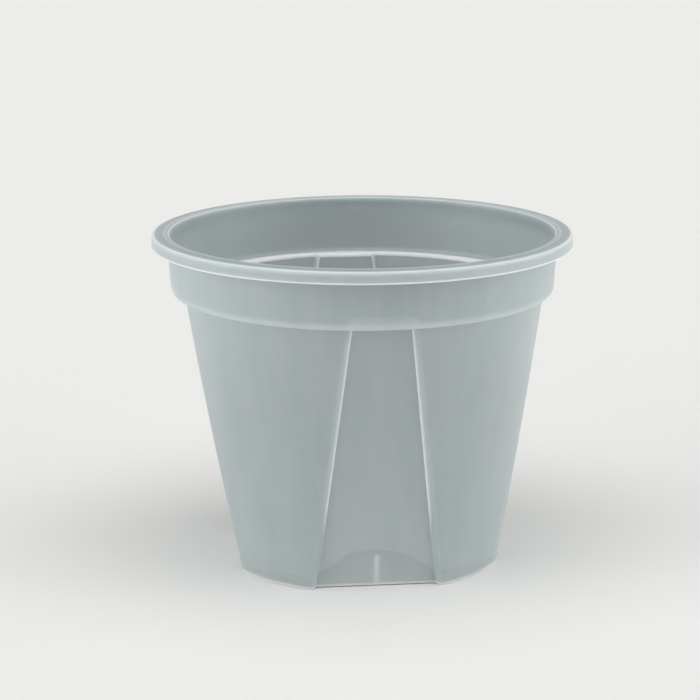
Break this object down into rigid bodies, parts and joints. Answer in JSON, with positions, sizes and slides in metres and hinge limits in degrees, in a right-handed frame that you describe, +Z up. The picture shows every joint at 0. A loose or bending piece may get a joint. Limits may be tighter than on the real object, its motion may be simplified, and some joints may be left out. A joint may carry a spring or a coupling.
{
  "type": "nursery pot",
  "caption": "Round tapered nursery pot in frosted translucent plastic, with a flanged rim, a stepped collar, flat recessed side panels, rounded legs and a vaulted drain floor.",
  "frame": {"origin": "centre of the foot circle, on the ground plane that the legs stand on", "axes": "+Z up along the pot's axis; -Y is the way the front panel faces, and the other panels face +X, +Y and -X"},
  "size_m": [0.15, 0.15, 0.1185],
  "materials": {
    "frosted_polypropylene": "translucent satin, cool grey, as moulded"
  },
  "bodies": {
    "root": {"rim": "frosted_polypropylene", "collar": "frosted_polypropylene", "wall": "frosted_polypropylene", "floor": "frosted_polypropylene", "cross_rib": "frosted_polypropylene"}
  },
  "joints": []
}
